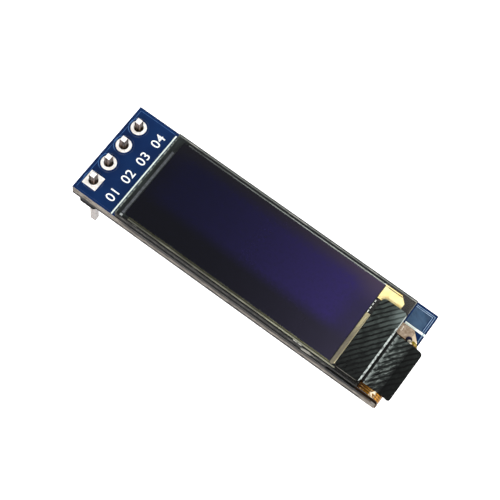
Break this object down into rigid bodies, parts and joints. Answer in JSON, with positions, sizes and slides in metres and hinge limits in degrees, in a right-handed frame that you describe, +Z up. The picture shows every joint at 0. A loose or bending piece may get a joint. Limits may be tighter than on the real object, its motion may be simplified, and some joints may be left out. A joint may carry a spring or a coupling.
{
  "type": "oled display module",
  "caption": "Small OLED display module: glass panel on a blue circuit board, flexible cable folded round one end, black tape over its driver ledge, and a pin header below the other end.",
  "frame": {"origin": "centre of the pin row on the underside of the header's plastic, where the module seats on its host board", "axes": "+X along the board from the header end to the flex end, +Y across it towards pin 4, +Z up out of the display"},
  "size_m": [0.0388, 0.0115, 0.0117],
  "materials": {
    "solder_mask": "satin blue solder mask, warm grey laminate at the edges",
    "tinned_copper": "tinned",
    "header_plastic": "matt",
    "pin_metal": "tinned, drawn",
    "white_adhesive": "foam tape",
    "clear_glass": "polished",
    "desiccant": "matt",
    "seal_epoxy": "dark cured epoxy",
    "cathode": "evaporated metal",
    "pale_gold": "polished film",
    "trace_metal": "fine lines",
    "polarizer_film": "gloss, near black with a violet cast",
    "silicon": "polished",
    "polyimide": "gloss amber film over copper",
    "black_tape": "ribbed, satin",
    "solder": "bright solder",
    "moulding": "moulded epoxy",
    "capacitor_ceramic": "tan ceramic, tinned ends",
    "resistor_ceramic": "dark glaze on white ceramic, tinned ends"
  },
  "bodies": {
    "root": {"circuit_board": "solder_mask", "plated_hole_1": "tinned_copper", "plated_hole_2": "tinned_copper", "plated_hole_3": "tinned_copper", "plated_hole_4": "tinned_copper", "header_body": "header_plastic", "header_pin_1": "pin_metal", "header_pin_2": "pin_metal", "header_pin_3": "pin_metal", "header_pin_4": "pin_metal", "panel_adhesive": "white_adhesive", "rear_glass": "clear_glass", "desiccant_sheet": "desiccant", "edge_seal": "seal_epoxy", "pixel_layer": "cathode", "panel_metal": "pale_gold", "fan_out_traces": "trace_metal", "front_glass": "clear_glass", "polarizer": "polarizer_film", "driver_chip": "silicon", "flex_cable": "polyimide", "shield_tape": "black_tape", "cable_lands": "tinned_copper", "cable_solder": "solder", "regulator_body": "moulding", "regulator_leads": "tinned_copper", "capacitor_1": "capacitor_ceramic", "capacitor_2": "capacitor_ceramic", "capacitor_3": "capacitor_ceramic", "capacitor_4": "capacitor_ceramic", "capacitor_5": "capacitor_ceramic", "capacitor_6": "capacitor_ceramic", "capacitor_7": "capacitor_ceramic", "capacitor_8": "capacitor_ceramic", "resistor_1": "resistor_ceramic", "resistor_2": "resistor_ceramic", "resistor_3": "resistor_ceramic", "resistor_4": "resistor_ceramic", "component_lands": "tinned_copper", "solder_joints": "solder"}
  },
  "joints": []
}
